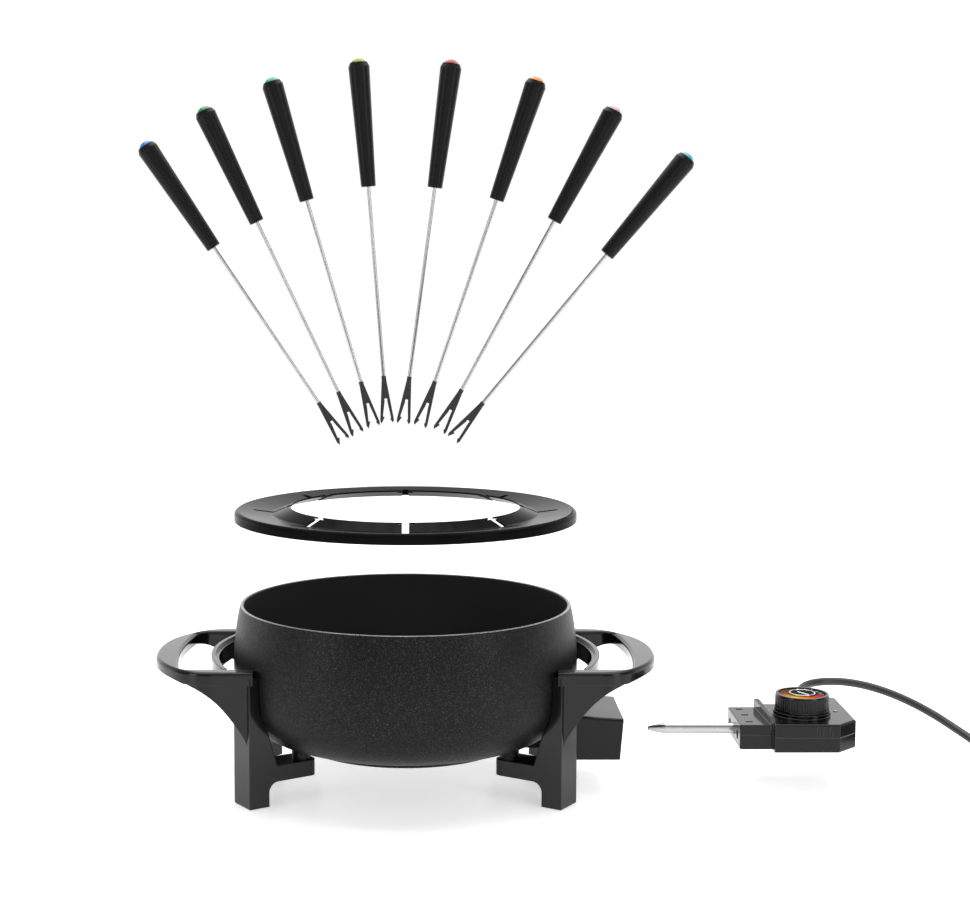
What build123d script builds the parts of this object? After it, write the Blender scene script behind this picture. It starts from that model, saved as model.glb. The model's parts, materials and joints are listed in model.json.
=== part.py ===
from build123d import *

import os
from math import asin, cos, pi, radians, sin, sqrt, tan

# Origin: the pot's axis at the surface it stands on. +Z up, +X towards the mains socket.

# pot
rim_radius = 116.0
rim_height = 128.0
belly_radius = 120.8
belly_height = 86.0
pot_wall = 2.8
pot_corner = 38.0  # outer radius between wall and underside
pot_underside = 34.5
pot_floor = 44.5
base_radius = 75.0
base_height = 29.0
boss_radius = 6.2
floor_rounding = 9.0  # between wall and floor, inside
rim_rounding = 1.1
fit_gap = 0.5  # between the pot and what is bolted around it

# heating element and mains socket
probe_height = 37.0
element_radius = 3.0
contact_spread = 15.0  # half the distance between the two terminals
pin_radius = 2.4
pin_reach = 30.0  # how far a terminal stands out of the casting
lug_start = 60.0
lug_end = 115.5
lug_half_width = 28.0
lug_low = 30.5
lug_high = 44.0
guard_length = 35.5
guard_half_width = 34.0
guard_low = 23.0
guard_high = 52.0
guard_rise = 2.5  # the roof climbs towards the pot
guard_slant = 2.4
guard_wall = 2.5
guard_screw_spread = 24.0
guard_screw_radius = 1.6
guard_screw_grip = 8.0  # how deep a screw goes into the casting
bore_gap = 0.3  # between the probe and its bore
probe_depth = 40.0  # bore in the casting, from the lug's face

# handle and leg brackets
handle_top = 94.0
handle_reach = 175.0
handle_half_width = 73.5
handle_inner_edge = 102.0
opening_half_width = 61.5
opening_reach = 158.0
slab_edge = 9.0  # height of the handle's side
gusset_inset = 2.2  # the gussets stand back from it
collar_inner = 131.0
collar_outer = 136.5
collar_low = 79.0
leg_turn = 33.0  # degrees between a leg and the handle's axis
leg_inner = 113.2
leg_outer = 128.2
leg_near = -5.4  # leg faces, measured across its radial plane
leg_far = 16.6
leg_top = 90.0
arm_inner = 75.5
arm_low = 16.5
arm_high = 27.5
screw_radial = 84.3  # bracket screw, from the pot's axis
screw_across = 2.0
screw_radius = 2.0
screw_grip = 7.0

# fork ring, shown lifted off the rim
ring_outer = 119.6
ring_inner = 80.5
ring_fold = 92.5
ring_sheet = 1.2
ring_top = 195.3
ring_dish = 3.5
ring_lip = 7.5
ring_collar_rise = 4.8
notch_count = 8
notch_width = 4.6
notch_mouth = 13.0

# thermostat, shown pulled out of the socket
nose_start = 233.0
nose_half_width = 26.0
nose_low = 28.5
nose_high = 46.0
nose_rounding = 1.5
body_start = 256.0
body_end = 315.0
body_half_width = 33.0
body_far_side = 27.0
body_low = 28.0
body_high = 48.0
body_split = 38.5
body_wall = 2.2
body_chamfer = 14.0
tail_start = 286.0
tail_side = 50.0
probe_radius = 4.0
probe_tip = 172.0
dial_x = 281.0
dial_radius = 18.8
dial_top = 62.5
dial_collar = 20.2
dial_collar_height = 2.6
dial_gap = 0.4
shaft_radius = 3.0
shaft_gap = 0.1
dial_ribs = 64
scale_radius = 16.6
hub_radius = 8.2
lens_x = 306.0
lens_y = 5.0
lens_radius = 1.6
socket_radius = 3.6
gland_neck = 4.6

probe_hold = body_start + body_wall + 1 - nose_start  # probe and contacts reach through the nose

# cord and plug
cord_radius = 3.0
gland_x = 298.0
gland_height = 40.0
gland_end = 72.0
coil_radius = 33.0  # middle of the turns
coil_section = 12.0
coil_x = 471.0
coil_y = -14.0
plug_width = 36.0
plug_height = 17.0
plug_length = 34.0
mains_pin_radius = 2.4
mains_pin_length = 19.0
mains_pin_spread = 9.5

# forks, shown fanned out above the pot
tine_length = 16.5
tine_width = 2.0
tine_spread = 4.7  # half the width over the tips
head_length = 33.3
head_thickness = 1.8
rod_radius = 1.3
rod_end = 164.2  # where the handle starts, from the tips
handle_length = 84.5
grip_top_radius = 7.3
grip_low_radius = 5.1
cap_radius = 5.3
cap_dome = 2.8
cap_stem = 2.0
cap_stem_length = 5.0
fork_depth_step = 5.5
# tip x, tip z, lean in degrees
fork_places = [
    (-43.0, 239.6, 33.7),
    (-33.2, 245.3, 25.3),
    (-21.9, 251.0, 16.4),
    (-12.6, 254.2, 4.5),
    (-1.6, 254.2, -7.6),
    (9.8, 252.9, -18.6),
    (22.9, 249.9, -28.5),
    (32.1, 244.9, -39.6),
]

os.makedirs("parts", exist_ok=True)


def save(part, name):
    part.label = name
    export_step(part, f"parts/{name}.step")


# the pot's outer curve: a wide arc for the wall and a tighter one into the underside
bulge = belly_radius - rim_radius
wall_arc = ((rim_height - belly_height) ** 2 + bulge**2) / (2 * bulge)
wall_centre = belly_radius - wall_arc
corner_z = pot_underside + pot_corner
corner_x = wall_centre + sqrt((wall_arc - pot_corner) ** 2 - (belly_height - corner_z) ** 2)


def pot_outline(grow, top):
    """half section of the pot, its surface moved outwards by grow"""
    lean = (belly_height - corner_z) / (wall_arc - pot_corner)
    meet = (
        wall_centre + (wall_arc + grow) * sqrt(1 - lean**2),
        belly_height - (wall_arc + grow) * lean,
    )
    rise = top - belly_height
    rim = (wall_centre + sqrt((wall_arc + grow) ** 2 - rise**2), top)
    low = corner_z - pot_corner - grow
    reach = pot_corner + grow
    turn = (corner_x + reach * sin(radians(40)), corner_z - reach * cos(radians(40)))
    with BuildLine() as outline:
        Line((0, low), (corner_x, low))
        ThreePointArc((corner_x, low), turn, meet)
        ThreePointArc(meet, (belly_radius + grow, belly_height), rim)
        Polyline(rim, (0, top), (0, low))
    return outline.line


# heating element: a tube bent in a loop, cast into the floor
with BuildPart() as heating_element:
    leg_x = lug_end - 3.5
    with BuildLine() as loop:
        FilletPolyline(
            (leg_x, -contact_spread, probe_height),
            (50, -contact_spread, probe_height),
            (40, -50, probe_height),
            (-30, -50, probe_height),
            (-60, -18, probe_height),
            (-60, 18, probe_height),
            (-30, 50, probe_height),
            (40, 50, probe_height),
            (50, contact_spread, probe_height),
            (leg_x, contact_spread, probe_height),
            radius=12,
        )
    with BuildSketch(Plane(loop.line @ 0, z_dir=loop.line % 0)):
        Circle(element_radius)
    sweep()
save(heating_element.part, "heating_element")

with BuildPart() as terminal_pins:
    with BuildSketch(Plane.YZ.offset(leg_x)):
        with Locations((-contact_spread, probe_height), (contact_spread, probe_height)):
            Circle(pin_radius)
    extrude(amount=lug_end - leg_x + pin_reach)
    chamfer(terminal_pins.faces().sort_by(Axis.X)[-2:].edges(), 0.8)
save(terminal_pins.part, "terminal_pins")

screw_x = cos(radians(leg_turn)) * screw_radial + sin(radians(leg_turn)) * screw_across
screw_y = sin(radians(leg_turn)) * screw_radial - cos(radians(leg_turn)) * screw_across
screw_places = [(sx * screw_x, sy * screw_y) for sx in (-1, 1) for sy in (-1, 1)]

with BuildPart() as pot:
    with BuildSketch(Plane.XZ):
        make_face(pot_outline(0, rim_height).edges())
    revolve(axis=Axis.Z)
    with BuildSketch(Plane.XZ):
        make_face(pot_outline(-pot_wall, rim_height + 5).edges())
        with Locations((0, pot_floor)):
            Rectangle(400, 200, align=(Align.CENTER, Align.MIN), mode=Mode.INTERSECT)
    revolve(axis=Axis.Z, mode=Mode.SUBTRACT)
    rounds = pot.edges().filter_by(GeomType.CIRCLE)
    fillet(rounds.filter_by_position(Axis.Z, pot_floor - 0.1, pot_floor + 0.1), floor_rounding)
    fillet(pot.edges().filter_by_position(Axis.Z, rim_height - 0.1, rim_height + 0.1), rim_rounding)
    # heater disc, socket lug and the four bosses that the brackets bolt to
    with BuildSketch(Plane.XY.offset(base_height)):
        Circle(base_radius)
    extrude(amount=pot_underside + 1 - base_height)
    with BuildSketch(Plane.XY.offset(lug_low)):
        with Locations((lug_start, 0)):
            Rectangle(lug_end - lug_start, 2 * lug_half_width, align=(Align.MIN, Align.CENTER))
    extrude(amount=lug_high - lug_low)
    with BuildSketch(Plane.XY.offset(arm_high)):
        with Locations(*screw_places):
            Circle(boss_radius)
    extrude(amount=pot_underside + 3 - arm_high)
    disc_face = pot.faces().group_by(Axis.Z)[1]
    chamfer(disc_face.edges().group_by(SortBy.RADIUS)[-1], 0.8)
    # bores
    add(heating_element.part, mode=Mode.SUBTRACT)
    add(terminal_pins.part, mode=Mode.SUBTRACT)
    with BuildSketch(Plane.YZ.offset(lug_end)):
        with Locations((0, probe_height)):
            Circle(probe_radius + bore_gap)
    extrude(amount=-probe_depth, mode=Mode.SUBTRACT)
    with BuildSketch(Plane.YZ.offset(lug_end)):
        with Locations((-guard_screw_spread, probe_height), (guard_screw_spread, probe_height)):
            Circle(guard_screw_radius)
    extrude(amount=-guard_screw_grip - 1, mode=Mode.SUBTRACT)
    with BuildSketch(Plane.XY.offset(arm_high)):
        with Locations(*screw_places):
            Circle(screw_radius)
    extrude(amount=screw_grip + 1, mode=Mode.SUBTRACT)
save(pot.part, "pot")

# what the brackets and the guard are cut back from
with BuildPart() as pot_room:
    with BuildSketch(Plane.XZ):
        make_face(pot_outline(fit_gap, rim_height).edges())
    revolve(axis=Axis.Z)

# socket guard: a box open towards the thermostat
with BuildPart() as socket_guard:
    with BuildSketch(Plane.XZ.offset(guard_half_width)):
        with BuildLine():
            Polyline(
                (lug_end, guard_low),
                (lug_end + guard_length - guard_slant, guard_low),
                (lug_end + guard_length, guard_high),
                (lug_end, guard_high + guard_rise),
                close=True,
            )
        make_face()
    extrude(amount=-2 * guard_half_width)
    fillet(socket_guard.edges().filter_by(Axis.X, tolerance=9), 2)
    offset(amount=-guard_wall, openings=socket_guard.faces().sort_by(Axis.X)[-1])
    add(pot_room.part, mode=Mode.SUBTRACT)
    with BuildSketch(Plane.YZ.offset(lug_end - 1)):
        with Locations((-contact_spread, probe_height), (contact_spread, probe_height)):
            Circle(pin_radius + 1.2)
        with Locations((0, probe_height)):
            Circle(probe_radius + 1.2)
        with Locations((-guard_screw_spread, probe_height), (guard_screw_spread, probe_height)):
            Circle(guard_screw_radius + 0.2)
    extrude(amount=guard_wall + 2, mode=Mode.SUBTRACT)
save(socket_guard.part, "socket_guard")

with BuildPart() as guard_screws:
    with BuildSketch(Plane.YZ.offset(lug_end + guard_wall)):
        with Locations((-guard_screw_spread, probe_height), (guard_screw_spread, probe_height)):
            Circle(guard_screw_radius * 2)
    extrude(amount=1.8)
    with BuildSketch(Plane.YZ.offset(lug_end + guard_wall)):
        with Locations((-guard_screw_spread, probe_height), (guard_screw_spread, probe_height)):
            Circle(guard_screw_radius)
    extrude(amount=-guard_wall - guard_screw_grip)
save(guard_screws.part, "guard_screws")

# one bracket: handle loop, two gussets, collar around the pot and two legs
leg_out = Vector(-cos(radians(leg_turn)), -sin(radians(leg_turn)), 0)
leg_across = Vector(-sin(radians(leg_turn)), cos(radians(leg_turn)), 0)
leg_plane = Plane(origin=(0, 0, 0), x_dir=leg_out, z_dir=leg_across)


def handle_plan(inset):
    """outer plan of a handle, drawn in by inset"""
    half_width = handle_half_width - inset
    corner = 0.7 * inset
    with BuildSketch() as plan:
        with BuildLine():
            side = Line((-handle_inner_edge, -half_width), (-128, -half_width))
            bend = (-handle_reach + 16 + corner, -handle_half_width + 17.5 + corner)
            Spline(side @ 1, bend, (-handle_reach + inset, 0), tangents=[(-1, 0), (0, 1)])
            mirror(about=Plane.XZ)
            Line((-handle_inner_edge, -half_width), (-handle_inner_edge, half_width))
        make_face()
    return plan.sketch


with BuildSketch() as finger_opening:
    with BuildLine():
        edge = Line((-90, -opening_half_width), (-opening_reach + 6, -opening_half_width))
        far_edge = Line((-90, opening_half_width), (-opening_reach + 6, opening_half_width))
        ThreePointArc(edge @ 1, (-opening_reach, 0), far_edge @ 1)
        Line(edge @ 0, far_edge @ 0)
    make_face()
    fillet(finger_opening.vertices().group_by(Axis.X)[0], 10)

with BuildPart() as left_bracket:
    with BuildSketch(Plane.XY.offset(handle_top)):
        add(handle_plan(0))
        add(finger_opening.sketch, mode=Mode.SUBTRACT)
    extrude(amount=-slab_edge)
    top_rim = left_bracket.edges().group_by(Axis.Z)[-1]
    fillet(top_rim.filter_by(lambda e: e.center().X < -handle_inner_edge - 0.5), 2.4)
    # the gussets stand back below the handle's side
    with BuildSketch(Plane.XY.offset(handle_top - slab_edge)):
        add(handle_plan(gusset_inset))
        add(finger_opening.sketch, mode=Mode.SUBTRACT)
    extrude(amount=slab_edge - handle_top)
    # the underside sweeps from the grip down into the legs
    with BuildSketch(Plane.XZ):
        with BuildLine():
            Spline(
                (-handle_reach - 2, handle_top - 6.2),
                (-150, handle_top - 9),
                (-130.5, 75.5),
                (-112, 54),
                (-104, 24),
                tangents=[(1, -0.05), (0.06, -1)],
            )
            Polyline(
                (-104, 24),
                (-90, 24),
                (-90, handle_top + 2),
                (-handle_reach - 2, handle_top + 2),
                (-handle_reach - 2, handle_top - 6.2),
            )
        make_face()
    extrude(amount=handle_half_width + 5, both=True, mode=Mode.INTERSECT)
    # collar that keeps fingers off the pot, with a ledge around its inner edge
    for wall, height in ((collar_inner, handle_top - 2.6), (collar_inner + 2.6, handle_top - 0.6)):
        with BuildSketch(Plane.XY.offset(collar_low)):
            Circle(collar_outer)
            Circle(wall, mode=Mode.SUBTRACT)
            with Locations((-collar_outer, 0)):
                Rectangle(30, 2 * opening_half_width + 4, mode=Mode.INTERSECT)
        extrude(amount=height - collar_low)
    # front leg, mirrored to the back
    with BuildSketch(leg_plane.offset(leg_near)):
        with BuildLine():
            Polyline(
                (leg_inner, 0),
                (leg_outer, 0),
                (leg_outer, leg_top),
                (leg_inner + 3, leg_top),
                (leg_inner + 3, 60),
                (leg_inner - 6, arm_high),
                (arm_inner, arm_high),
                (arm_inner, arm_low),
                (leg_inner, arm_low),
                close=True,
            )
        leg_side = make_face()
        knee = leg_side.vertices().sort_by_distance((leg_inner, arm_low, 0))
        fillet(knee[0], 7)
    leg = extrude(amount=leg_far - leg_near)
    mirror(leg, about=Plane.XZ)
    add(pot_room.part, mode=Mode.SUBTRACT)
    arm_ends = left_bracket.edges().filter_by(Axis.Z).filter_by(lambda e: e.center().X > -75)
    fillet(arm_ends.filter_by(lambda e: e.length < arm_high - arm_low + 1), 5)
    for side_sign in (-1, 1):
        with Locations((-screw_x, side_sign * screw_y, arm_low)):
            Cylinder(screw_radius + 0.3, 60, mode=Mode.SUBTRACT)
            Cylinder(screw_radius * 2 + 0.3, 8, mode=Mode.SUBTRACT)
save(left_bracket.part, "left_bracket")

with BuildPart() as right_bracket:
    mirror(left_bracket.part, about=Plane.YZ)
save(right_bracket.part, "right_bracket")

with BuildPart() as bracket_screws:
    with BuildSketch(Plane.XY.offset(arm_low + 4)):
        with Locations(*screw_places):
            Circle(screw_radius * 2)
    extrude(amount=-2.4)
    with BuildSketch(Plane.XY.offset(arm_low + 4)):
        with Locations(*screw_places):
            Circle(screw_radius)
    extrude(amount=arm_high + screw_grip - arm_low - 4)
save(bracket_screws.part, "bracket_screws")

# fork ring: sheet with a rolled-down lip outside and an upright, notched edge inside
with BuildPart() as fork_ring:
    with BuildSketch(Plane.XZ):
        with BuildLine():
            FilletPolyline(
                (ring_outer, ring_top - ring_lip),
                (ring_outer, ring_top),
                (ring_fold, ring_top - ring_dish),
                (ring_inner, ring_top - ring_dish + ring_collar_rise),
                radius=3,
            )
            offset(amount=ring_sheet, side=Side.LEFT)
        make_face()
    revolve(axis=Axis.Z)
    with BuildSketch(Plane.XY.offset(ring_top - ring_lip)):
        with PolarLocations(0, notch_count, start_angle=-90):
            with Locations((ring_fold, 0)):
                SlotCenterToCenter(2 * (ring_fold - ring_inner), notch_width)
            with Locations((ring_inner, 0)):
                Trapezoid(notch_mouth, 2.4, 60, rotation=-90, align=(Align.CENTER, Align.MIN))
    extrude(amount=ring_lip + 6, mode=Mode.SUBTRACT)
save(fork_ring.part, "fork_ring")

# thermostat housing, in two shells
def body_outline(inset):
    """plan of the housing behind its nose, inset by a wall"""
    with BuildSketch() as plan:
        with BuildLine():
            Polyline(
                (body_start, -body_half_width),
                (body_end - body_chamfer, -body_half_width),
                (body_end, -body_half_width + body_chamfer),
                (body_end, tail_side - 6),
                (body_end - 6, tail_side),
                (tail_start + 5, tail_side),
                (tail_start - 8, body_far_side),
                (body_start, body_far_side),
                close=True,
            )
        make_face()
        if inset:
            offset(amount=-inset, kind=Kind.INTERSECTION)
    return plan.sketch


housing_screws_at = [(263, -26), (263, 20), (304, -20), (304, 40)]
housing_screw_radius = 1.4

with BuildPart() as lower_housing:
    with BuildSketch(Plane.XY.offset(body_low)):
        add(body_outline(0))
    extrude(amount=body_split - body_low)
    fillet(lower_housing.edges().group_by(Axis.Z)[0].sort_by(Axis.X)[1:], 1.2)
    with BuildSketch(Plane.XY.offset(nose_low)):
        with Locations((nose_start, 0)):
            Rectangle(body_start - nose_start + 1, 2 * nose_half_width, align=(Align.MIN, Align.CENTER))
    extrude(amount=body_split - nose_low)
    fillet(lower_housing.edges().filter_by(Axis.Z).group_by(Axis.X)[0], nose_rounding)
    fillet(lower_housing.faces().sort_by(Axis.X)[0].edges().group_by(Axis.Z)[0], 0.8)
    with BuildSketch(Plane.XY.offset(body_split)):
        add(body_outline(body_wall))
    extrude(amount=-(body_split - body_low - body_wall), mode=Mode.SUBTRACT)
    with BuildSketch(Plane.XY.offset(body_split)):
        with Locations(*housing_screws_at):
            Circle(housing_screw_radius + 1.8)
    extrude(amount=-(body_split - body_low - body_wall))
    with BuildSketch(Plane.XY.offset(body_split)):
        with Locations(*housing_screws_at):
            Circle(housing_screw_radius)
    extrude(amount=body_low - body_split, mode=Mode.SUBTRACT)

# slanted ridge across the nose, which the fingers push against
ridge_slant = radians(3)
ridge_across = (-sin(ridge_slant), cos(ridge_slant), 0)
ridge_normal = (cos(ridge_slant), sin(ridge_slant), 0)
ridge_plane = Plane(origin=(body_start - 1.4, 0, nose_high), x_dir=ridge_across, z_dir=ridge_normal)
ridge_far = 6.5
ridge_near = 4.8
ridge_thickness = 3.2

with BuildPart() as upper_housing:
    with BuildSketch(Plane.XY.offset(body_split)):
        add(body_outline(0))
    extrude(amount=body_high - body_split)
    fillet(upper_housing.edges().group_by(Axis.Z)[-1].sort_by(Axis.X)[1:], 1.2)
    with BuildSketch(Plane.XY.offset(body_split)):
        with Locations((nose_start, 0)):
            Rectangle(body_start - nose_start + 1, 2 * nose_half_width, align=(Align.MIN, Align.CENTER))
    extrude(amount=nose_high - body_split)
    fillet(upper_housing.edges().filter_by(Axis.Z).group_by(Axis.X)[0], nose_rounding)
    fillet(upper_housing.faces().sort_by(Axis.X)[0].edges().group_by(Axis.Z)[-1], 0.8)
    with BuildSketch(ridge_plane):
        with BuildLine():
            Polyline(
                (-nose_half_width - 1, -3),
                (nose_half_width, -3),
                (nose_half_width, ridge_far - 1),
                (nose_half_width - 2, ridge_far),
                (-nose_half_width + 5, ridge_near),
                (-nose_half_width - 1, 1),
                close=True,
            )
        make_face()
    extrude(amount=ridge_thickness / 2, both=True)
    with BuildSketch(Plane.XY.offset(body_high - 1)):
        with Locations((dial_x, 0)):
            Circle(dial_collar)
    extrude(amount=dial_collar_height + 1)
    with BuildSketch(Plane.XY.offset(body_split)):
        add(body_outline(body_wall))
    extrude(amount=body_high - body_split - body_wall, mode=Mode.SUBTRACT)
    with BuildSketch(Plane.XY.offset(body_split)):
        with Locations(*housing_screws_at):
            Circle(housing_screw_radius + 1.8)
    extrude(amount=body_high - body_split - body_wall)
    with BuildSketch(Plane.XY.offset(body_split)):
        with Locations(*housing_screws_at):
            Circle(housing_screw_radius)
    extrude(amount=6, mode=Mode.SUBTRACT)
    with BuildSketch(Plane.XY.offset(body_split)):
        with Locations((dial_x, 0)):
            Circle(shaft_radius + shaft_gap)
    extrude(amount=20, mode=Mode.SUBTRACT)
    # shallow pockets on the nose, grooves for the fingers on the near side
    with BuildSketch(Plane.XY.offset(nose_high)):
        with Locations((240, 18), (241, 2), (241, -17)):
            Rectangle(5, 3)
    extrude(amount=-0.8, mode=Mode.SUBTRACT)
    with BuildSketch(Plane.XZ.offset(body_half_width)):
        with GridLocations(4.5, 0, 3, 1):
            with Locations((290.5, body_split + 4)):
                SlotOverall(7, 1.4, rotation=90)
    extrude(amount=-0.7, mode=Mode.SUBTRACT)
    with BuildSketch(Plane.XY.offset(body_high)):
        with Locations((lens_x, lens_y)):
            Circle(lens_radius)
    extrude(amount=-body_wall, mode=Mode.SUBTRACT)

with BuildPart() as nose_bores:
    with BuildSketch(Plane.YZ.offset(nose_start)):
        with Locations((0, probe_height)):
            Circle(probe_radius)
        with Locations((-contact_spread, probe_height), (contact_spread, probe_height)):
            Circle(socket_radius)
    extrude(amount=probe_hold)
    with BuildSketch(Plane.XZ.offset(-tail_side)):
        with Locations((gland_x, gland_height)):
            Circle(gland_neck)
    extrude(amount=body_wall + 4)

for shell, name in ((lower_housing, "lower_housing"), (upper_housing, "upper_housing")):
    with shell:
        add(nose_bores.part, mode=Mode.SUBTRACT)
    save(shell.part, name)

with BuildPart() as housing_screws:
    with BuildSketch(Plane.XY.offset(body_low)):
        with Locations(*housing_screws_at):
            Circle(housing_screw_radius)
    extrude(amount=body_split + 6 - body_low)
save(housing_screws.part, "housing_screws")

# probe, contacts and the switch that they lead to
with BuildPart() as probe:
    with BuildSketch(Plane.XZ):
        with BuildLine():
            Polyline(
                (probe_tip, probe_height),
                (probe_tip, probe_height + 1.5),
                (probe_tip + 2.5, probe_height + 2.0),
                (probe_tip + 12, probe_height + probe_radius),
                (nose_start + probe_hold, probe_height + probe_radius),
                (nose_start + probe_hold, probe_height),
                close=True,
            )
        make_face()
    revolve(axis=Axis((0, 0, probe_height), (1, 0, 0)))
    fillet(probe.edges().group_by(Axis.X)[0], 0.8)
save(probe.part, "probe")

with BuildPart() as contact_sockets:
    with BuildSketch(Plane.YZ.offset(nose_start + 0.6)):
        with Locations((-contact_spread, probe_height), (contact_spread, probe_height)):
            Circle(socket_radius)
            Circle(pin_radius + 0.08, mode=Mode.SUBTRACT)
    extrude(amount=probe_hold - 0.6)
save(contact_sockets.part, "contact_sockets")

switch_low = body_low + body_wall
switch_high = probe_height + probe_radius
with BuildPart() as switch_block:
    with BuildSketch(Plane.XY.offset(switch_low)):
        with Locations((nose_start + probe_hold, 0)):
            Rectangle(42, 30, align=(Align.MIN, Align.CENTER))
    extrude(amount=switch_high - switch_low)
    fillet(switch_block.edges().filter_by(Axis.Z), 2)
    with BuildSketch(Plane.XY.offset(switch_high)):
        with Locations((dial_x, 0)):
            Circle(shaft_radius + shaft_gap)
    extrude(amount=-4, mode=Mode.SUBTRACT)
save(switch_block.part, "switch_block")

with BuildPart() as indicator_lens:
    with BuildSketch(Plane.XY.offset(body_high - body_wall)):
        with Locations((lens_x, lens_y)):
            Circle(lens_radius)
    extrude(amount=body_wall + 0.5)
    fillet(indicator_lens.edges().group_by(Axis.Z)[-1], 0.45)
save(indicator_lens.part, "indicator_lens")

# dial and what turns with it
dial_low = body_high + dial_collar_height + dial_gap
dial_floor = dial_top - 3.0
with BuildPart() as dial_shaft:
    with BuildSketch(Plane.XY.offset(switch_high - 4 + 0.2)):
        with Locations((dial_x, 0)):
            Circle(shaft_radius)
    extrude(amount=dial_floor - switch_high + 3.8)
save(dial_shaft.part, "dial_shaft")

with BuildPart() as dial:
    with BuildSketch(Plane.XY.offset(dial_low)):
        with Locations((dial_x, 0)):
            Circle(dial_radius)
            with PolarLocations(dial_radius + 0.12, dial_ribs):
                Circle(0.55, mode=Mode.SUBTRACT)
    extrude(amount=dial_top - 1.2 - dial_low)
    with BuildSketch(Plane.XY.offset(dial_low)):
        with Locations((dial_x, 0)):
            Circle(dial_radius + 0.5)
    extrude(amount=1.4)
    with BuildSketch(Plane.XY.offset(dial_top - 1.2)):
        with Locations((dial_x, 0)):
            Circle(dial_radius)
    extrude(amount=1.2, taper=20)
    with BuildSketch(Plane.XY.offset(dial_top)):
        with Locations((dial_x, 0)):
            Circle(scale_radius)
    extrude(amount=-1.4, mode=Mode.SUBTRACT)
    with BuildSketch(Plane.XY.offset(dial_low)):
        with Locations((dial_x, 0)):
            Circle(shaft_radius)
    extrude(amount=dial_floor - dial_low, mode=Mode.SUBTRACT)
save(dial.part, "dial")

with BuildPart() as dial_scale:
    with BuildSketch(Plane.XY.offset(dial_top - 1.4)):
        with Locations((dial_x, 0)):
            Circle(scale_radius)
    extrude(amount=0.8)
save(dial_scale.part, "dial_scale")

with BuildPart() as dial_trim:
    with BuildSketch(Plane.XY.offset(dial_top - 0.6)):
        with Locations((dial_x, 0)):
            Circle(hub_radius + 1.1)
            Circle(hub_radius, mode=Mode.SUBTRACT)
    extrude(amount=1.2)
    fillet(dial_trim.edges().group_by(Axis.Z)[-1], 0.4)
save(dial_trim.part, "dial_trim")

with BuildPart() as dial_hub:
    with BuildSketch(Plane.XY.offset(dial_top - 0.6)):
        with Locations((dial_x, 0)):
            Circle(hub_radius)
    extrude(amount=0.7)
save(dial_hub.part, "dial_hub")

# strain relief, cord, coil and plug
gland_plane = Plane.XZ.offset(-tail_side)
with BuildPart() as strain_relief:
    with BuildSketch(Plane.XZ.offset(-tail_side + body_wall + 3)):
        with Locations((gland_x, gland_height)):
            Circle(gland_neck)
    extrude(amount=-(body_wall + 3))
    with BuildSketch(gland_plane):
        with Locations((gland_x, gland_height)):
            Circle(gland_neck + 1.2)
    extrude(amount=-2)
    with BuildSketch(gland_plane.offset(-2)):
        with Locations((gland_x, gland_height)):
            Circle(gland_neck)
    with BuildSketch(gland_plane.offset(tail_side - gland_end)):
        with Locations((gland_x, gland_height)):
            Circle(cord_radius + 0.7)
    loft()
save(strain_relief.part, "strain_relief")

cord_route = [
    (gland_x, gland_end, gland_height),
    (gland_x, 90, gland_height),
    (305, 108, 42),
    (320, 119, 42.5),
    (340, 121, 42),
    (360, 116, 39),
    (380, 107, 33),
    (400, 95, 24),
    (417, 78, 14),
    (429, 58, 7),
    (436, 36, 4),
    (coil_x - coil_radius, 14, cord_radius),
    (coil_x - coil_radius, coil_y + 12, cord_radius),
]


def corner_radii(points):
    """largest arc that the two runs at each corner leave room for"""
    radii = []
    for before, corner, after in zip(points, points[1:], points[2:]):
        first = Vector(*corner) - Vector(*before)
        second = Vector(*after) - Vector(*corner)
        turn = radians(first.get_angle(second))
        radii.append(0.45 * min(first.length, second.length) / tan(turn / 2))
    return radii


cord_bends = corner_radii(cord_route)
print("cord bend radii", [round(bend, 1) for bend in cord_bends])
with BuildPart() as cord_tube:
    with BuildLine() as cord_path:
        FilletPolyline(*cord_route, radius=cord_bends)
    with BuildSketch(Plane(cord_path.line @ 0, z_dir=cord_path.line % 0)):
        Circle(cord_radius)
    sweep()
cord_length = sum(edge.length for edge in cord_path.edges())
section_volume = pi * cord_radius**2 * cord_length
print("cord length", round(cord_length, 1), "volume ratio", round(cord_tube.part.volume / section_volume, 4))
save(cord_tube.part, "cord_tube")

with BuildPart() as cord_coil:
    with BuildSketch(Plane.XZ):
        with Locations((coil_radius, 0)):
            RectangleRounded(coil_section, coil_section, 3, align=(Align.CENTER, Align.MIN))
    revolve(axis=Axis.Z)
cord_coil_part = cord_coil.part.moved(Location((coil_x, coil_y, 0)))
save(cord_coil_part, "cord_coil")

# the last turn leaves the coil on its far side, heading +Y into the plug
plug_x = coil_x + coil_radius
plug_tail_start = coil_y + 14
plug_back = plug_tail_start + 22
plug_front = plug_back + plug_length
pin_hold = 8.0  # length of the thinner shank inside the plug
pin_neck = 0.5  # the shank shows this much
pin_shank = mains_pin_radius - 0.5
pin_places = [(plug_x + way * mains_pin_spread, plug_height / 2) for way in (-1, 1)]
with BuildPart() as plug_body:
    with BuildSketch(Plane.XZ.offset(-plug_tail_start)):
        with Locations((plug_x, plug_height / 2)):
            Circle(cord_radius + 1)
    with BuildSketch(Plane.XZ.offset(-plug_back)):
        with Locations((plug_x, plug_height / 2)):
            Circle(plug_height / 2 - 2)
    loft()
    with BuildSketch(Plane.XZ.offset(-plug_back)):
        with Locations((plug_x, plug_height / 2)):
            RectangleRounded(plug_width, plug_height, plug_height / 2 - 0.6)
    extrude(amount=-plug_length)
    fillet(plug_body.edges().group_by(Axis.Y)[-1], 1.5)
    with BuildSketch(Plane.XZ.offset(-plug_front)):
        with Locations(*pin_places):
            Circle(pin_shank)
    extrude(amount=pin_hold, mode=Mode.SUBTRACT)
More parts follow.
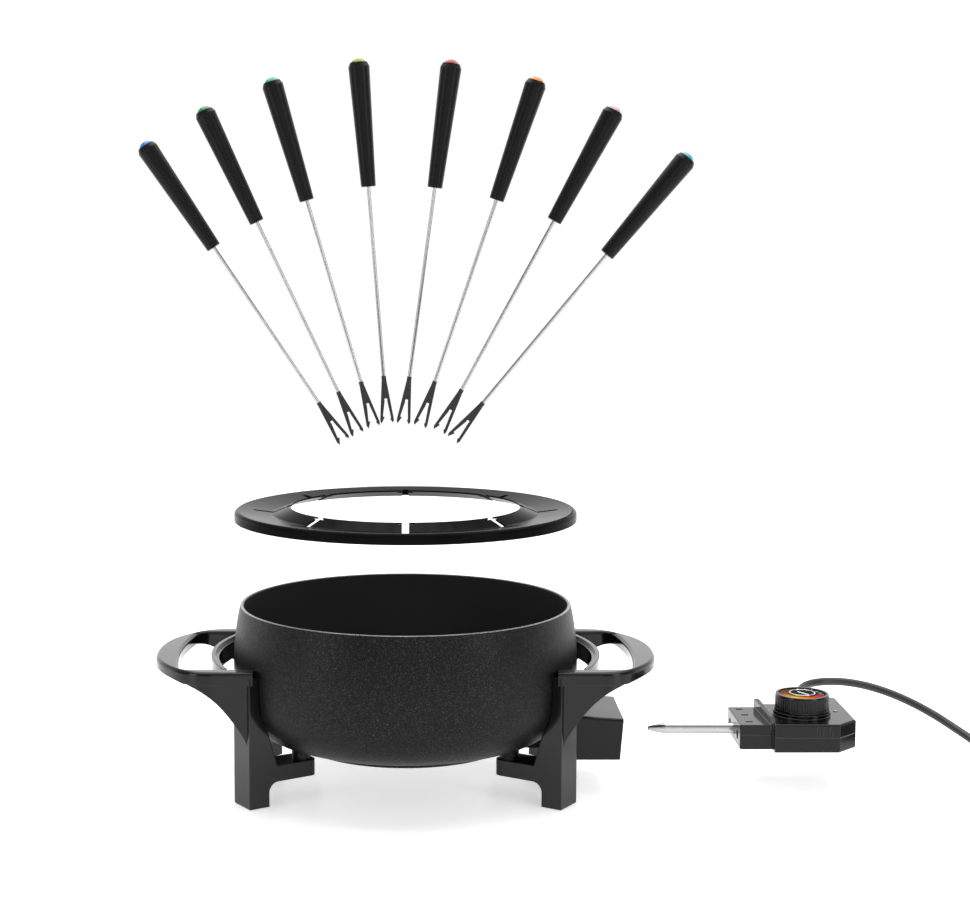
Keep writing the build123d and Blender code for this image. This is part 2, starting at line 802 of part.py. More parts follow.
save(plug_body.part, "plug_body")

with BuildPart() as plug_pins:
    with BuildSketch(Plane.XZ.offset(-plug_front + pin_hold)):
        with Locations(*pin_places):
            Circle(pin_shank)
    extrude(amount=-pin_hold - pin_neck)
    with BuildSketch(Plane.XZ.offset(-plug_front - pin_neck)):
        with Locations(*pin_places):
            Circle(mains_pin_radius)
    extrude(amount=-mains_pin_length + pin_neck)
    fillet(plug_pins.edges().group_by(Axis.Y)[-1], 1)
save(plug_pins.part, "plug_pins")


# forks: each piece is drawn on the plane of its own fork, Z from the tips to the cap
def upright(place):
    """the plane through a fork's axis, its own Y along the fork"""
    return Plane(place.origin, x_dir=place.x_dir, z_dir=-place.y_dir)


def fork_tines(place):
    start = 1.3
    spread = tine_spread
    tine = tine_width
    crotch = start + (spread - start) * (head_length - tine_length) / head_length
    with BuildPart() as tines:
        with BuildSketch(upright(place)):
            Polygon(
                (-start, head_length),
                (-spread - 0.2, 2.2),
                (-spread + 0.7, 0),
                (-spread + 3.2, 4.5),
                (-spread + tine, 4.9),
                (-crotch + tine + 0.5, tine_length),
                (crotch - tine, tine_length),
                (spread - tine + 0.1, 3.6),
                (spread - tine - 0.5, 2.9),
                (spread - 0.8, 0.1),
                (spread + 0.1, 2.2),
                (start, head_length),
                align=None,
            )
            with Locations((0.2, tine_length)):
                Circle(crotch - tine, mode=Mode.SUBTRACT)
        extrude(amount=head_thickness / 2, both=True)
        with BuildSketch(place.offset(head_length - 6)):
            Circle(rod_radius + 0.35)
        extrude(amount=6)
        with BuildSketch(place.offset(head_length - 4)):
            Circle(rod_radius)
        extrude(amount=4, mode=Mode.SUBTRACT)
    return tines.part


def fork_rod(place):
    with BuildPart() as rod:
        with BuildSketch(place.offset(head_length - 4)):
            Circle(rod_radius)
        extrude(amount=rod_end + handle_length / 2 - head_length + 4)
    return rod.part


def fork_handle(place):
    with BuildPart() as handle:
        with BuildSketch(upright(place)):
            with BuildLine():
                top = rod_end + handle_length
                Polyline(
                    (0, rod_end),
                    (grip_low_radius - 0.5, rod_end),
                    (grip_low_radius, rod_end + 0.5),
                    (grip_top_radius, top - 3),
                    (cap_radius + 0.6, top),
                    (0, top),
                    close=True,
                )
            make_face()
        revolve(axis=Axis(place.origin, place.z_dir))
        with BuildSketch(place.offset(rod_end)):
            Circle(rod_radius)
        extrude(amount=handle_length / 2, mode=Mode.SUBTRACT)
        with BuildSketch(place.offset(top - cap_stem_length)):
            Circle(cap_stem)
        extrude(amount=cap_stem_length, mode=Mode.SUBTRACT)
    return handle.part


def fork_cap(place):
    top = rod_end + handle_length
    dome_radius = (cap_radius**2 + cap_dome**2) / (2 * cap_dome)
    half_way = asin(cap_radius / dome_radius) / 2
    shoulder = (dome_radius * sin(half_way), top + cap_dome - dome_radius * (1 - cos(half_way)))
    with BuildPart() as cap:
        with BuildSketch(upright(place)):
            with BuildLine():
                ThreePointArc((0, top + cap_dome), shoulder, (cap_radius, top))
                Polyline(
                    (cap_radius, top),
                    (cap_stem, top),
                    (cap_stem, top - cap_stem_length),
                    (0, top - cap_stem_length),
                    (0, top + cap_dome),
                )
            make_face()
        revolve(axis=Axis(place.origin, place.z_dir))
    return cap.part


for number, (tip_x, tip_z, lean) in enumerate(fork_places, start=1):
    depth = (len(fork_places) / 2 + 0.5 - number) * fork_depth_step
    tilt = radians(lean)
    place = Plane((tip_x, depth, tip_z), x_dir=(cos(tilt), 0, sin(tilt)), z_dir=(-sin(tilt), 0, cos(tilt)))
    save(fork_tines(place), f"fork_{number}_tines")
    save(fork_rod(place), f"fork_{number}_rod")
    save(fork_handle(place), f"fork_{number}_handle")
    save(fork_cap(place), f"fork_{number}_cap")
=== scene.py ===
import bpy
import bmesh
import json
from math import cos, pi, radians, sin, sqrt
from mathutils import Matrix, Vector


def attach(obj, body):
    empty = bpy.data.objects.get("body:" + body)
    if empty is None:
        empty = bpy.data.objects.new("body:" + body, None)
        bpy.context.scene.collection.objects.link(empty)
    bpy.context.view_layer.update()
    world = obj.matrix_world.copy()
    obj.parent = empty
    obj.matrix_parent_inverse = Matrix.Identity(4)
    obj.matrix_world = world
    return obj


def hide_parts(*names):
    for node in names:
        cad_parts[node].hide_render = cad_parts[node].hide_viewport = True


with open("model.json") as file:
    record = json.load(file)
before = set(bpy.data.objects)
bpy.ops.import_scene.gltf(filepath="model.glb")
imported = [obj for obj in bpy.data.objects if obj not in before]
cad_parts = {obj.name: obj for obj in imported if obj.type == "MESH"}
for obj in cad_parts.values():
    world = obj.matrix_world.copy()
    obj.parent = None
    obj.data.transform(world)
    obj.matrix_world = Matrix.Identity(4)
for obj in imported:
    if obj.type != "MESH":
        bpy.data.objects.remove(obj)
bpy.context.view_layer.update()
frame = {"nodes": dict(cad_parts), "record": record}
nodes = frame["nodes"]
scene = bpy.context.scene


# camera: a long lens, a little above the ring and looking slightly down
camera = {
    "place": (0.0, -1.3, 0.3808),
    "pitch": 6.37,  # degrees below level
    "lens": 69.54,
    "sensor": 36,
    "shift": 0.082,
    "nearest": 0.01,
    "farthest": 50,
}


def makeCamera():
    data = bpy.data.cameras.new("camera")
    data.lens = camera["lens"]
    data.sensor_width = camera["sensor"]
    data.shift_x = camera["shift"]
    data.clip_start = camera["nearest"]
    data.clip_end = camera["farthest"]
    eye = bpy.data.objects.new("camera", data)
    eye.location = camera["place"]
    eye.rotation_euler = (radians(90 - camera["pitch"]), 0, 0)
    scene.collection.objects.link(eye)
    scene.camera = eye


makeCamera()
print("camera placed")


# cord: out of the strain relief, down to the table and into a round coil, with the plug beside it
cord = {
    "radius": 0.003,
    "turns": 3.5,
    "coilCentre": (0.471, -0.014),
    "coilRadius": 0.033,
    "pointsPerTurn": 16,
    "laneChange": 0.72,  # share of a turn after which it moves to its next lane
    "outward": 0.45,  # how far the whole coil sits out from its radius, in diameters
    # where each turn lies, across and up, in diameters
    "lanes": [(0.0, 0.5), (-0.92, 0.56), (0.05, 1.46), (-0.9, 1.5), (-0.9, 1.5)],
    "colour": (0.012, 0.012, 0.013),
    "dusty": (0.024, 0.024, 0.025),
    "grainScale": 1100,
    "dustScale": 90,
    "roughness": 0.34,
    "grainRoughness": 0.12,
    "bump": (0.25, 0.00005),  # strength, depth
}
cordRoute = [
    (0.298, 0.072, 0.040),
    (0.298, 0.090, 0.040),
    (0.305, 0.108, 0.042),
    (0.320, 0.119, 0.0425),
    (0.340, 0.121, 0.042),
    (0.360, 0.116, 0.039),
    (0.380, 0.107, 0.033),
    (0.400, 0.095, 0.024),
    (0.417, 0.078, 0.014),
    (0.429, 0.058, 0.007),
    (0.436, 0.036, 0.004),
    (0.438, 0.014, 0.003),
    (0.438, -0.002, 0.003),
]
plugEntry = [(0.5035, -0.007, 0.0087), (0.504, 0.0, 0.0085)]


def coilPoints():
    # turns lying beside and on each other, two wide and two high
    cx, cy = cord["coilCentre"]
    d = 2 * cord["radius"]
    lanes = cord["lanes"]
    change = cord["laneChange"]
    points = []
    steps = int(cord["turns"] * cord["pointsPerTurn"])
    for step in range(1, steps + 1):
        turn = step / cord["pointsPerTurn"]
        lane = min(int(turn), len(lanes) - 2)
        blend = max(0.0, (turn - lane - change) / (1 - change))
        blend = blend * blend * (3 - 2 * blend)
        across = lanes[lane][0] * (1 - blend) + lanes[lane + 1][0] * blend
        up = lanes[lane][1] * (1 - blend) + lanes[lane + 1][1] * blend
        angle = pi + 2 * pi * turn
        radius = cord["coilRadius"] + (across + cord["outward"]) * d
        points.append((cx + radius * cos(angle), cy + radius * sin(angle), up * d))
    return points


def makeCord():
    curve = bpy.data.curves.new("cord", "CURVE")
    curve.dimensions = "3D"
    curve.bevel_depth = 1.0  # times each point's radius
    curve.bevel_resolution = 5
    curve.resolution_u = 12
    curve.use_fill_caps = True
    route = cordRoute + coilPoints() + plugEntry
    spline = curve.splines.new("NURBS")
    spline.points.add(len(route) - 1)
    for point, place in zip(spline.points, route):
        point.co = (*place, 1)
        point.radius = cord["radius"]
    spline.order_u = 3
    spline.use_endpoint_u = True
    piece = bpy.data.objects.new("cord", curve)
    scene.collection.objects.link(piece)
    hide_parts("cord_tube", "cord_coil")
    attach(piece, "thermostat")
    return piece


cordPiece = makeCord()
print("cord laid")


# shader maths: a Wire holds one output socket, and arithmetic on it adds nodes
class Wire:
    def __init__(self, owner, out):
        self.owner = owner
        self.out = out

    def maths(self, operation, *values):
        return self.owner.node("ShaderNodeMath", {"operation": operation}, dict(enumerate(values)))

    def __add__(self, other):
        return self.maths("ADD", self, other)

    def __radd__(self, other):
        return self.maths("ADD", other, self)

    def __sub__(self, other):
        return self.maths("SUBTRACT", self, other)

    def __rsub__(self, other):
        return self.maths("SUBTRACT", other, self)

    def __mul__(self, other):
        return self.maths("MULTIPLY", self, other)

    def __rmul__(self, other):
        return self.maths("MULTIPLY", other, self)

    def __truediv__(self, other):
        return self.maths("DIVIDE", self, other)

    def __rtruediv__(self, other):
        return self.maths("DIVIDE", other, self)

    def __pow__(self, other):
        return self.maths("POWER", self, other)

    def __gt__(self, other):
        return self.maths("GREATER_THAN", self, other)

    def __lt__(self, other):
        return self.maths("LESS_THAN", self, other)

    def clamp(self):
        return self.maths("MINIMUM", self.maths("MAXIMUM", self, 0.0), 1.0)


class Nodes:
    def __init__(self, tree):
        self.tree = tree

    def join(self, socket, value):
        if isinstance(value, Wire):
            self.tree.links.new(value.out, socket)
        elif isinstance(value, tuple) and socket.type == "RGBA":
            socket.default_value = (*value, 1.0)[:4]
        else:
            socket.default_value = value

    # one node of any type: its settings first, then its sockets by name or number
    def node(self, kind, settings={}, sockets={}, out=0):
        made = self.tree.nodes.new(kind)
        for key, value in settings.items():
            if key == "stops":
                fillRamp(made.color_ramp, value)
            else:
                setattr(made, key, value)
        for key, value in sockets.items():
            self.join(made.inputs[key], value)
        return Wire(self, made.outputs[out])

    def place(self, kind="Object"):
        return self.node("ShaderNodeTexCoord", out=kind)

    def axes(self, place=None):
        split = self.node("ShaderNodeSeparateXYZ", {}, {0: place or self.place()})
        return [Wire(self, split.out.node.outputs[i]) for i in range(3)]

    def mix(self, factor, first, second):
        return self.node("ShaderNodeMix", {"data_type": "RGBA"}, {0: factor, 6: first, 7: second}, out=2)


class Finish(Nodes):
    def __init__(self, name):
        self.material = bpy.data.materials.new(name)
        self.material.use_nodes = True
        super().__init__(self.material.node_tree)
        self.tree.nodes.clear()
        self.shader = self.tree.nodes.new("ShaderNodeBsdfPrincipled")
        output = self.tree.nodes.new("ShaderNodeOutputMaterial")
        self.tree.links.new(self.shader.outputs[0], output.inputs[0])

    def noise(self, scale, detail=2.0, roughness=0.5, stretch=None):
        place = self.place()
        if stretch:
            place = self.node("ShaderNodeVectorMath", {"operation": "MULTIPLY"}, {0: place, 1: stretch})
        sockets = {"Vector": place, "Scale": scale, "Detail": detail, "Roughness": roughness}
        return self.node("ShaderNodeTexNoise", {}, sockets)

    def flakes(self, scale):
        sockets = {"Vector": self.place(), "Scale": scale}
        cells = self.node("ShaderNodeTexVoronoi", {"feature": "F1"}, sockets)
        colour = Wire(self, cells.out.node.outputs["Color"])
        return self.node("ShaderNodeSeparateColor", {}, {0: colour})

    def bump(self, height, strength, distance, normal=None):
        sockets = {"Height": height, "Strength": strength, "Distance": distance}
        if normal:
            sockets["Normal"] = normal
        return self.node("ShaderNodeBump", {}, sockets)

    def soften(self, radius):
        return self.node("ShaderNodeBevel", {"samples": 4}, {"Radius": radius})

    # 1 along sharp edges and 0 on flat faces
    def edges(self, softened, contrast=5):
        flat = self.node("ShaderNodeNewGeometry", out="Normal")
        sockets = {0: softened, 1: flat}
        same = self.node("ShaderNodeVectorMath", {"operation": "DOT_PRODUCT"}, sockets, "Value")
        return ((1 - same) * contrast).clamp()

    def set(self, **values):
        for key, value in values.items():
            self.join(self.shader.inputs[key.replace("_", " ")], value)
        return self.material


def fillRamp(ramp, stops):
    while len(ramp.elements) < len(stops):
        ramp.elements.new(0.5)
    for element, (place, colour) in zip(ramp.elements, stops):
        element.position = place
        element.color = (*colour, 1.0)


# pot: satin coating, with fine bright flakes outside, plain inside, and a bare edge on the rim
potShape = {
    "rim": 0.128,
    "wall": 0.0028,
    "bellyRadius": 0.1208,
    "bellyHeight": 0.086,
    "rimRadius": 0.116,
    "corner": 0.038,
    "underside": 0.0345,
    "cornerTop": 0.069,  # the wall's arc ends here and the corner's begins
    "floorTop": 0.043,
    "bareDepth": 0.0003,
    "bareFrom": 0.110,
}
potLook = {
    "outside": (0.0038, 0.0038, 0.004),
    "inside": (0.03, 0.03, 0.0305),
    "flake": (0.08, 0.08, 0.081),
    "edge": (0.42, 0.42, 0.43),
    "shine": 0.16,  # strength of the reflection
    "flakeScale": 3000,
    "flakeFrom": 0.9,  # only the brightest tenth of the flakes shows
    "flakeMix": 0.6,
    "flakeHeight": 0.6,
    "edgeMix": 0.8,
    "cloudScale": 70,
    "grainScale": 1300,
    "roughness": {"all": 0.36, "cloud": 0.08, "inside": 0.12, "edge": 0.12, "flake": 0.08},
    "metallic": {"edge": 0.9, "flake": 0.45},
    "bump": (0.5, 0.00012),
}


def potCoating():
    f = Finish("pot_coating")
    s = potShape
    look = potLook
    rough = look["roughness"]
    metal = look["metallic"]
    x, y, z = f.axes()
    r = (x * x + y * y) ** 0.5
    bulge = s["bellyRadius"] - s["rimRadius"]
    arc = ((s["rim"] - s["bellyHeight"]) ** 2 + bulge**2) / (2 * bulge)
    centre = s["bellyRadius"] - arc
    cornerZ = s["underside"] + s["corner"]
    cornerX = centre + sqrt((arc - s["corner"]) ** 2 - (s["bellyHeight"] - cornerZ) ** 2)
    wallDepth = ((r - centre) ** 2 + (z - s["bellyHeight"]) ** 2) ** 0.5 - arc
    cornerDepth = ((r - cornerX) ** 2 + (z - cornerZ) ** 2) ** 0.5 - s["corner"]
    low = z < s["cornerTop"]
    depth = wallDepth * (1 - low) + cornerDepth * low
    inside = ((depth < -s["wall"] / 2) * (z > s["floorTop"])).clamp()
    edge = (z > s["rim"] - s["bareDepth"]) * (r > s["bareFrom"])
    flakes = f.flakes(look["flakeScale"])
    bright = (flakes > look["flakeFrom"]) * (1 - inside)
    cloud = f.noise(look["cloudScale"], 3)
    grain = f.noise(look["grainScale"], 2, 0.7)
    body = f.mix(bright * look["flakeMix"], look["outside"], look["flake"])
    body = f.mix(inside, body, look["inside"])
    colour = f.mix(edge * look["edgeMix"], body, look["edge"])
    roughness = rough["all"] + cloud * rough["cloud"] + inside * rough["inside"]
    return f.set(
        Base_Color=colour,
        Roughness=roughness - edge * rough["edge"] - bright * rough["flake"],
        Metallic=(edge * metal["edge"] + bright * metal["flake"]).clamp(),
        Specular_IOR_Level=look["shine"],
        Normal=f.bump(grain + flakes * look["flakeHeight"], *look["bump"]),
    )


# brackets, guard, housings, dial and plug: moulded plastic, from glossy to satin, with a painted
# highlight along its edges
mouldings = {
    "bracket_black": {
        "colour": (0.004, 0.004, 0.0043), "gloss": 0.12, "shine": 0.28,
        "edge": 0.0014, "painted_highlight_share": 0.06, "grain": 260, "depth": 0.00003,
    },
    "guard_black": {
        "colour": (0.004, 0.004, 0.0043), "gloss": 0.22, "shine": 0.22,
        "edge": 0.0010, "painted_highlight_share": 0.2, "grain": 900, "depth": 0.00004,
    },
    "housing_black": {
        "colour": (0.0035, 0.0035, 0.0038), "gloss": 0.12, "shine": 0.25,
        "edge": 0.0010, "painted_highlight_share": 0.22, "grain": 300, "depth": 0.00002,
    },
    "dial_black": {
        "colour": (0.005, 0.005, 0.0053), "gloss": 0.24, "shine": 0.3,
        "edge": 0.0002, "painted_highlight_share": 0.1, "grain": 1200, "depth": 0.00003,
    },
    "plug_black": {
        "colour": (0.012, 0.012, 0.0125), "gloss": 0.42, "shine": 0.4,
        "edge": 0.0004, "painted_highlight_share": 0.1, "grain": 900, "depth": 0.00005,
    },
    "switch_body": {
        "colour": (0.36, 0.32, 0.25), "gloss": 0.5, "shine": 0.5,
        "edge": 0.0003, "painted_highlight_share": 0.1, "grain": 700, "depth": 0.00005,
    },
}
mouldingDetail = {
    "cloudScale": 45,
    "lighter": 1.5,  # the cloudy areas' colour, times the plain one
    # painted highlight: the lighter colour laid along sharp edges
    "painted_edge_highlight": (0.30, 0.30, 0.305),
    "smoothest": 0.8,  # times the gloss
    "cloudGloss": 0.35,
    "grainGloss": 0.03,
    "bump": 0.3,
}


def moulded(name):
    look = mouldings[name]
    detail = mouldingDetail
    f = Finish(name)
    cloud = f.noise(detail["cloudScale"], 3)
    grain = f.noise(look["grain"], 3, 0.6)
    tone = tuple(c * detail["lighter"] for c in look["colour"])
    soft = f.soften(look["edge"])
    # painted highlight: edges get a lighter colour where the softened normal turns away from the flat
    # one, in place of the glints that light gives there
    painted_edge_highlight = f.edges(soft) * look["painted_highlight_share"]
    plain = f.mix(cloud, look["colour"], tone)
    cloudGloss = look["gloss"] * detail["cloudGloss"]
    return f.set(
        Base_Color=f.mix(painted_edge_highlight, plain, detail["painted_edge_highlight"]),
        Roughness=look["gloss"] * detail["smoothest"] + cloud * cloudGloss + grain * detail["grainGloss"],
        Specular_IOR_Level=look["shine"],
        Normal=f.bump(grain, detail["bump"], look["depth"], soft),
    )


# fork ring: thick glossy enamel over pressed sheet
ringLook = {
    "colour": (0.0035, 0.0035, 0.0038),
    "cloudy": (0.006, 0.006, 0.0063),
    "gloss": 0.16,
    "cloudGloss": 0.06,
    "index": 1.07,
    "peelScale": 180,
    "cloudScale": 30,
    "bump": (0.25, 0.00008),
}


def ringEnamel():
    f = Finish("ring_enamel")
    peel = f.noise(ringLook["peelScale"], 2)
    cloud = f.noise(ringLook["cloudScale"], 2)
    return f.set(
        Base_Color=f.mix(cloud, ringLook["colour"], ringLook["cloudy"]),
        Roughness=ringLook["gloss"] + cloud * ringLook["cloudGloss"],
        IOR=ringLook["index"],
        Normal=f.bump(peel, *ringLook["bump"]),
    )


# bare metals: fine scratches, and faint stains that darken the colour
metals = {
    "steel": {
        "colour": (0.50, 0.50, 0.51), "gloss": 0.09, "stretch": (1.0, 1.0, 1.0), "scale": 900,
    },
    "chrome_trim": {
        "colour": (0.60, 0.60, 0.62), "gloss": 0.08, "stretch": (1.0, 1.0, 1.0), "scale": 500,
    },
    "brass_contact": {
        "colour": (0.62, 0.45, 0.17), "gloss": 0.28, "stretch": (0.2, 1.0, 1.0), "scale": 700,
    },
}
metalDetail = {
    "stainScale": 60,
    "stained": 0.8,  # times the colour
    "scratchGloss": 0.14,
    "bump": (0.04, 0.00001),
}


def bareMetal(name):
    look = metals[name]
    detail = metalDetail
    f = Finish(name)
    scratches = f.noise(look["scale"], 4, 0.7, look["stretch"])
    stain = f.noise(detail["stainScale"], 3)
    darker = tuple(c * detail["stained"] for c in look["colour"])
    return f.set(
        Base_Color=f.mix(stain, look["colour"], darker),
        Metallic=1.0,
        Roughness=look["gloss"] + scratches * detail["scratchGloss"],
        Normal=f.bump(scratches, *detail["bump"]),
    )


# fork heads: dark coating, worn to grey in spots
tineLook = {
    "colour": (0.009, 0.009, 0.0095),
    "worn": (0.05, 0.05, 0.05),
    "wearFrom": 0.72,
    "wearMix": 0.4,
    "wearScale": 160,
    "grainScale": 1500,
    "roughness": 0.34,
    "grainRoughness": 0.12,
    "bump": (0.3, 0.00004),
}


def tineCoating():
    f = Finish("tine_coating")
    grain = f.noise(tineLook["grainScale"], 3)
    wear = f.noise(tineLook["wearScale"], 4) > tineLook["wearFrom"]
    return f.set(
        Base_Color=f.mix(wear * tineLook["wearMix"], tineLook["colour"], tineLook["worn"]),
        Roughness=tineLook["roughness"] + grain * tineLook["grainRoughness"],
        Normal=f.bump(grain, *tineLook["bump"]),
    )


# fork handles: black plastic with a fine pitted grain
gripLook = {
    "colour": (0.0025, 0.0025, 0.0026),
    "light": (0.007, 0.007, 0.0071),
    "shine": 0.16,
    "grainScale": 1400,
    "pitScale": 2200,
    "pitHeight": 0.4,
    "roughness": 0.30,
    "grainRoughness": 0.12,
    "bump": (0.55, 0.00012),
}


def gripPlastic():
    f = Finish("grip_black")
    grain = f.noise(gripLook["grainScale"], 3, 0.7)
    pits = f.flakes(gripLook["pitScale"])
    return f.set(
        Base_Color=f.mix(grain, gripLook["colour"], gripLook["light"]),
        Roughness=gripLook["roughness"] + grain * gripLook["grainRoughness"],
        Specular_IOR_Level=gripLook["shine"],
        Normal=f.bump(grain + pits * gripLook["pitHeight"], *gripLook["bump"]),
    )


# caps on the fork handles: one glossy colour for each guest
markLook = {
    "deeper": 0.72,  # the swirl's colour, times the plain one
    "swirlScale": 220,
    "gloss": 0.16,
    "swirlGloss": 0.05,
    "shine": 0.3,
    "bump": (0.1, 0.00004),
    "colours": {
        "cap_blue": (0.01, 0.20, 0.62),
        "cap_green": (0.03, 0.24, 0.05),
        "cap_teal": (0.03, 0.36, 0.24),
        "cap_lime": (0.26, 0.36, 0.01),
        "cap_red": (0.42, 0.01, 0.015),
        "cap_orange": (0.70, 0.22, 0.02),
        "cap_pink": (0.62, 0.40, 0.38),
        "cap_light_blue": (0.08, 0.36, 0.50),
    },
}


def colourMark(name, colour):
    f = Finish(name)
    swirl = f.noise(markLook["swirlScale"], 2)
    deep = tuple(c * markLook["deeper"] for c in colour)
    return f.set(
        Base_Color=f.mix(swirl, colour, deep),
        Roughness=markLook["gloss"] + swirl * markLook["swirlGloss"],
        Specular_IOR_Level=markLook["shine"],
        Normal=f.bump(swirl, *markLook["bump"]),
    )


# dial face: a warm band that runs from yellow to red, with white marks on the cool side
dialFace = {
    "centre": (0.281, 0.0),
    "inner": 0.0098,
    "outer": 0.0160,
    "plain": (0.012, 0.012, 0.012),
    "bandMix": 0.75,
    "stops": [
        (0.00, (0.30, 0.10, 0.03)),
        (0.08, (0.62, 0.26, 0.03)),
        (0.16, (0.80, 0.48, 0.02)),
        (0.27, (0.75, 0.16, 0.01)),
        (0.36, (0.60, 0.03, 0.01)),
        (0.43, (0.45, 0.02, 0.02)),
        (0.47, (0.015, 0.015, 0.015)),
        (0.78, (0.015, 0.015, 0.015)),
        (0.84, (0.10, 0.04, 0.02)),
        (1.00, (0.24, 0.08, 0.03)),
    ],
    "markCount": 18,  # round the whole face, of which only some show
    "markTurn": (0.47, 0.80),
    "markReach": (0.0118, 0.0150),
    "markWidth": (0.42, 0.58),
    "mark": (0.6, 0.6, 0.59),
    "fadeScale": 500,
    "roughness": 0.3,
    "fadeRoughness": 0.1,
    "index": 1.03,
    "bump": (0.1, 0.00003),
}


def dialColours():
    f = Finish("dial_colours")
    face = dialFace
    x, y, z = f.axes()
    dx = x - face["centre"][0]
    dy = y - face["centre"][1]
    r = (dx * dx + dy * dy) ** 0.5
    angle = f.node("ShaderNodeMath", {"operation": "ARCTAN2"}, {0: dy, 1: dx}) / (2 * pi) + 0.5
    band = f.node("ShaderNodeValToRGB", {"stops": face["stops"]}, {0: angle})
    within = (r > face["inner"]) * (r < face["outer"])
    step = f.node("ShaderNodeMath", {"operation": "FRACT"}, {0: angle * face["markCount"]})
    tick = (step > face["markWidth"][0]) * (step < face["markWidth"][1])
    tick = tick * (r > face["markReach"][0]) * (r < face["markReach"][1])
    tick = tick * (angle > face["markTurn"][0]) * (angle < face["markTurn"][1])
    ink = f.mix(within * face["bandMix"], face["plain"], band)
    fade = f.noise(face["fadeScale"], 2)
    return f.set(
        Base_Color=f.mix(tick, ink, face["mark"]),
        Roughness=face["roughness"] + fade * face["fadeRoughness"],
        IOR=face["index"],
        Normal=f.bump(fade, *face["bump"]),
    )


# dial hub: black, with a white pointer across it
hubLook = {
    "turn": -58,  # degrees from the right
    "back": -0.0045,
    "front": 0.0062,
    "halfWidth": 0.0008,
    "colour": (0.004, 0.004, 0.0043),
    "pointer": (0.8, 0.8, 0.8),
    "grainScale": 900,
    "gloss": 0.2,
    "grainGloss": 0.08,
    "index": 1.03,
    "bump": (0.2, 0.00003),
}


def dialHub():
    f = Finish("dial_hub")
    turn = radians(hubLook["turn"])
    half = hubLook["halfWidth"]
    x, y, z = f.axes()
    dx = x - dialFace["centre"][0]
    dy = y - dialFace["centre"][1]
    along = dx * cos(turn) + dy * sin(turn)
    across = dy * cos(turn) - dx * sin(turn)
    pointer = (along > hubLook["back"]) * (along < hubLook["front"]) * (across < half) * (across > -half)
    grain = f.noise(hubLook["grainScale"], 3)
    return f.set(
        Base_Color=f.mix(pointer, hubLook["colour"], hubLook["pointer"]),
        Roughness=hubLook["gloss"] + grain * hubLook["grainGloss"],
        IOR=hubLook["index"],
        Normal=f.bump(grain, *hubLook["bump"]),
    )


# indicator: a dark amber lens under a clear coat
lensLook = {
    "dark": (0.22, 0.03, 0.015),
    "light": (0.35, 0.06, 0.02),
    "glowScale": 400,
    "gloss": 0.08,
    "glowGloss": 0.05,
    "coat": 0.6,
}


def lensPlastic():
    f = Finish("lens_amber")
    glow = f.noise(lensLook["glowScale"], 2)
    return f.set(
        Base_Color=f.mix(glow, lensLook["dark"], lensLook["light"]),
        Roughness=lensLook["gloss"] + glow * lensLook["glowGloss"],
        Coat_Weight=lensLook["coat"],
    )


def cordSheath():
    f = Finish("cord_black")
    grain = f.noise(cord["grainScale"], 3, 0.6)
    dust = f.noise(cord["dustScale"], 4)
    return f.set(
        Base_Color=f.mix(dust, cord["colour"], cord["dusty"]),
        Roughness=cord["roughness"] + grain * cord["grainRoughness"],
        Normal=f.bump(grain, *cord["bump"]),
    )


def paintAll():
    finishes = {
        "pot_coating": potCoating(),
        "ring_enamel": ringEnamel(),
        "tine_coating": tineCoating(),
        "grip_black": gripPlastic(),
        "dial_colours": dialColours(),
        "lens_amber": lensPlastic(),
        "cord_black": cordSheath(),
    }
    finishes.update({name: moulded(name) for name in mouldings})
    finishes.update({name: bareMetal(name) for name in metals})
    finishes.update({name: colourMark(name, colour) for name, colour in markLook["colours"].items()})
    slots = {part["node"]: part["material_slot"] for part in frame["record"]["subparts"]}
    for name, piece in nodes.items():
        piece.data.materials.clear()
        piece.data.materials.append(finishes[slots[name]])
    nodes["dial_hub"].data.materials[0] = dialHub()
    cordPiece.data.materials.append(finishes["cord_black"])


paintAll()
print("finishes on")


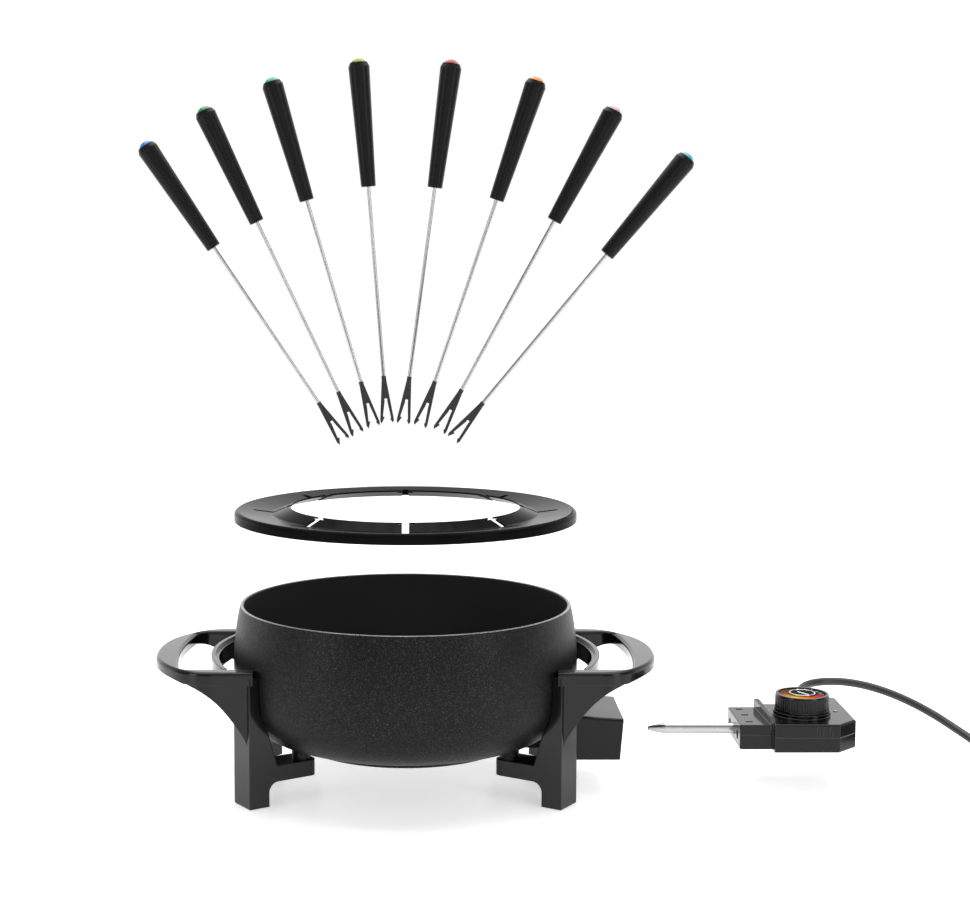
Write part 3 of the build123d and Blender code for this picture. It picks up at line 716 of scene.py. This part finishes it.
# stage: white floor in a white surround, which reflects darker in front than behind
studio = {
    "floor": (0.9, 0.9, 0.9),
    "floorSize": 1.6,
    "floorDrop": 0.0004,
    "floorGlow": 0.5,
    "floorGloss": 0.3,
    "speckScale": 8,
    "speckGloss": 0.03,
    "front": 0.16,
    "behind": 1.5,
    "above": 0.35,
    "behindSlope": 2.0,  # how fast it brightens from the side to the back
    "sides": 0.12,
    "lowSlope": 2.4,  # how fast the bright back fades with height
    "lowFrom": 1.45,
    "aboveFrom": 0.5,
    "backdrop": 1.02,  # what the camera sees past the floor
    "lights": [
        # name, place, size, watts, aim
        ("top", (0.1, 0.35, 1.5), (1.9, 1.3), 26, (0.05, 0.0, 0.1)),
        ("left", (-1.3, -0.9, 0.55), (0.5, 0.9), 5, (0.0, 0.0, 0.1)),
        ("right", (1.25, -1.0, 0.65), (0.5, 1.0), 6.5, (0.0, 0.0, 0.1)),
        ("front", (0.1, -2.6, 0.75), (1.6, 0.9), 8, (0.0, 0.0, 0.25)),
    ],
}


def makeStage():
    mesh = bpy.data.meshes.new("floor")
    shape = bmesh.new()
    bmesh.ops.create_grid(shape, x_segments=2, y_segments=2, size=studio["floorSize"])
    shape.to_mesh(mesh)
    shape.free()
    floor = bpy.data.objects.new("floor", mesh)
    floor.location = (0, 0, -studio["floorDrop"])
    scene.collection.objects.link(floor)
    f = Finish("floor")
    speck = f.noise(studio["speckScale"], 2)
    f.set(
        Base_Color=studio["floor"],
        Roughness=studio["floorGloss"] + speck * studio["speckGloss"],
        Emission_Color=(1, 1, 1),
        Emission_Strength=studio["floorGlow"],
    )
    mesh.materials.append(f.material)

    world = bpy.data.worlds.new("surround")
    world.use_nodes = True
    scene.world = world
    w = Nodes(world.node_tree)
    x, y, z = w.axes(w.place("Generated"))
    behind = (y * studio["behindSlope"] + studio["sides"]).clamp()
    low = (studio["lowFrom"] - z * studio["lowSlope"]).clamp()
    brighter = studio["behind"] - studio["front"]
    glow = studio["front"] + behind * low * brighter + (z > studio["aboveFrom"]) * studio["above"]
    seen = w.node("ShaderNodeLightPath", out="Is Camera Ray")
    backdrop = world.node_tree.nodes["Background"]
    w.join(backdrop.inputs["Strength"], glow * (1 - seen) + seen * studio["backdrop"])
    backdrop.inputs["Color"].default_value = (1, 1, 1, 1)
    scene.view_settings.view_transform = "Standard"

    for name, place, size, watts, aim in studio["lights"]:
        data = bpy.data.lights.new(name, "AREA")
        data.shape = "RECTANGLE"
        data.size, data.size_y = size
        data.energy = watts
        lamp = bpy.data.objects.new(name, data)
        lamp.location = place
        lamp.rotation_euler = (Vector(aim) - Vector(place)).to_track_quat("-Z", "Y").to_euler()
        scene.collection.objects.link(lamp)


makeStage()
print("stage lit")
